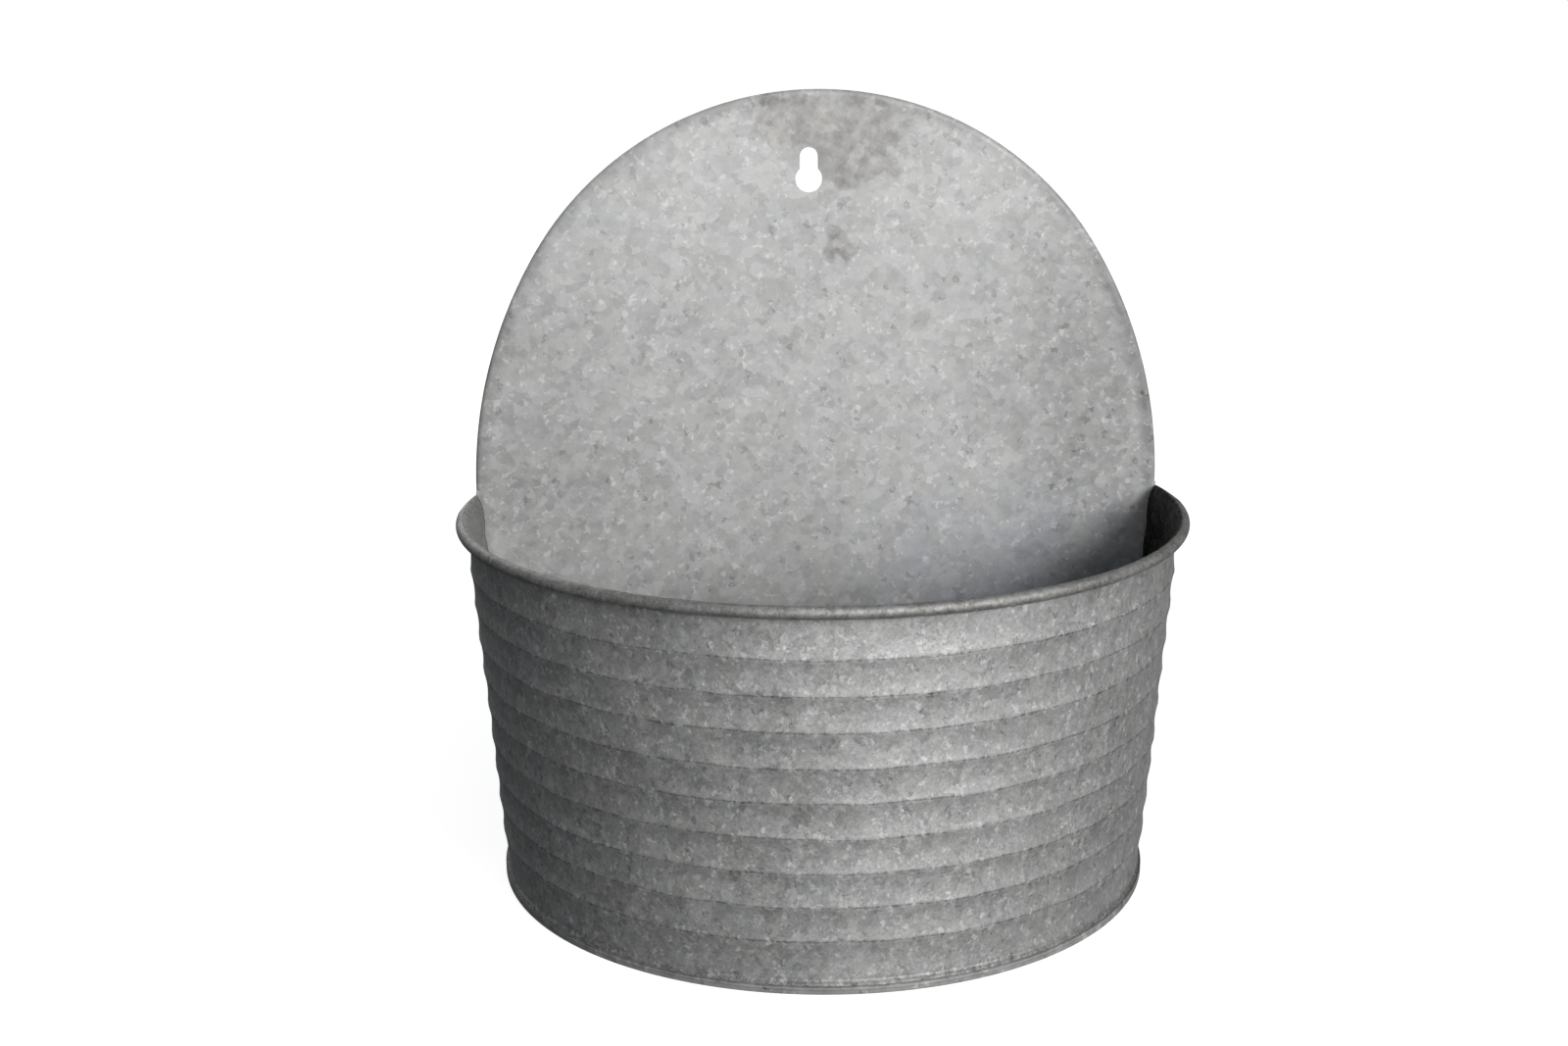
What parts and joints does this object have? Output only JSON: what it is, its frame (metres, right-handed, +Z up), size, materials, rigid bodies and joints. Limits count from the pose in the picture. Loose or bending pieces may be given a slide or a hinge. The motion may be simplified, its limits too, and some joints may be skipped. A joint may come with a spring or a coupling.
{
  "type": "wall planter",
  "caption": "Half-round wall planter of ribbed galvanised sheet steel on a flat arched back plate with a keyhole for hanging.",
  "frame": {"origin": "on the floor plane under the middle of the object's width and depth (bottom centre of its bounding box)", "axes": "+Z up, -Y to the front (the round wall), +Y to the wall it hangs on, +X to the right seen from the front"},
  "size_m": [0.3, 0.186, 0.3201],
  "materials": {
    "plate_zinc": "matte weathered galvanised zinc with spangle",
    "wall_zinc": "matte weathered galvanised zinc with spangle",
    "pan_zinc": "matte weathered galvanised zinc",
    "steel_wire": "drawn galvanised wire"
  },
  "bodies": {
    "root": {"back_plate": "plate_zinc", "edge_wire": "steel_wire", "front_wall": "wall_zinc", "rim_wire": "steel_wire", "base_pan": "pan_zinc"}
  },
  "joints": []
}
